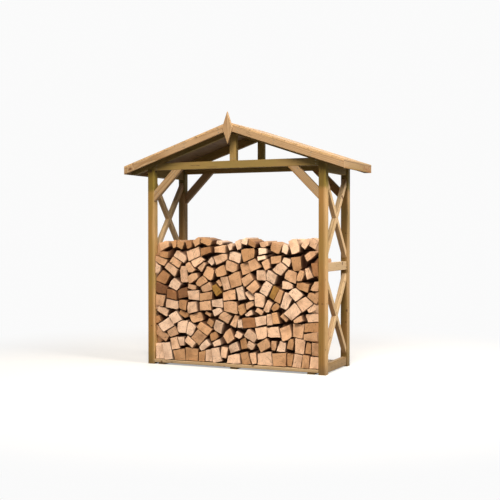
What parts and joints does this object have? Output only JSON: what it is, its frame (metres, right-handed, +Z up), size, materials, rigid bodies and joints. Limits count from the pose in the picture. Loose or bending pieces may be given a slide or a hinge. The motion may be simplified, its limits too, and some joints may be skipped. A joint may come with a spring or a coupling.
{
  "type": "open timber log store",
  "caption": "Open-fronted timber log store with square posts, crossed side braces, a low apex roof with a diamond finial, a slatted floor and one row of split firewood.",
  "frame": {"origin": "the middle of the whole footprint, at ground level", "axes": "+Z up; the open front faces -Y; +X is to the right when looking at the front"},
  "size_m": [2.262, 0.838, 2.4092],
  "materials": {
    "frame_timber": "planed, pressure-treated softwood, weathered pale",
    "roof_boards": "planed softwood boards, pale cream",
    "firewood": "split and sawn, matt"
  },
  "bodies": {
    "root": {"bargeboard_front_left": "frame_timber", "bargeboard_front_right": "frame_timber", "bargeboard_rear_left": "frame_timber", "bargeboard_rear_right": "frame_timber", "cross_brace_lower_falling_left": "frame_timber", "cross_brace_lower_falling_right": "frame_timber", "cross_brace_lower_rising_left": "frame_timber", "cross_brace_lower_rising_right": "frame_timber", "cross_brace_upper_falling_left": "frame_timber", "cross_brace_upper_falling_right": "frame_timber", "cross_brace_upper_rising_left": "frame_timber", "cross_brace_upper_rising_right": "frame_timber", "fascia_left": "frame_timber", "fascia_right": "frame_timber", "finial": "frame_timber", "firewood_lower": "firewood", "firewood_upper": "firewood", "floor_bearer_left": "frame_timber", "floor_bearer_middle": "frame_timber", "floor_bearer_right": "frame_timber", "floor_slats": "frame_timber", "king_post_front": "frame_timber", "king_post_rear": "frame_timber", "knee_brace_front_left": "frame_timber", "knee_brace_front_right": "frame_timber", "knee_brace_rear_left": "frame_timber", "knee_brace_rear_right": "frame_timber", "post_front_left": "frame_timber", "post_front_right": "frame_timber", "post_rear_left": "frame_timber", "post_rear_right": "frame_timber", "rafter_front_left": "frame_timber", "rafter_front_right": "frame_timber", "rafter_rear_left": "frame_timber", "rafter_rear_right": "frame_timber", "roof_boards_left": "roof_boards", "roof_boards_right": "roof_boards", "side_rail_bottom_left": "frame_timber", "side_rail_bottom_right": "frame_timber", "side_rail_mid_left": "frame_timber", "side_rail_mid_right": "frame_timber", "side_rail_top_left": "frame_timber", "side_rail_top_right": "frame_timber", "tie_beam_front": "frame_timber", "tie_beam_rear": "frame_timber"}
  },
  "joints": []
}
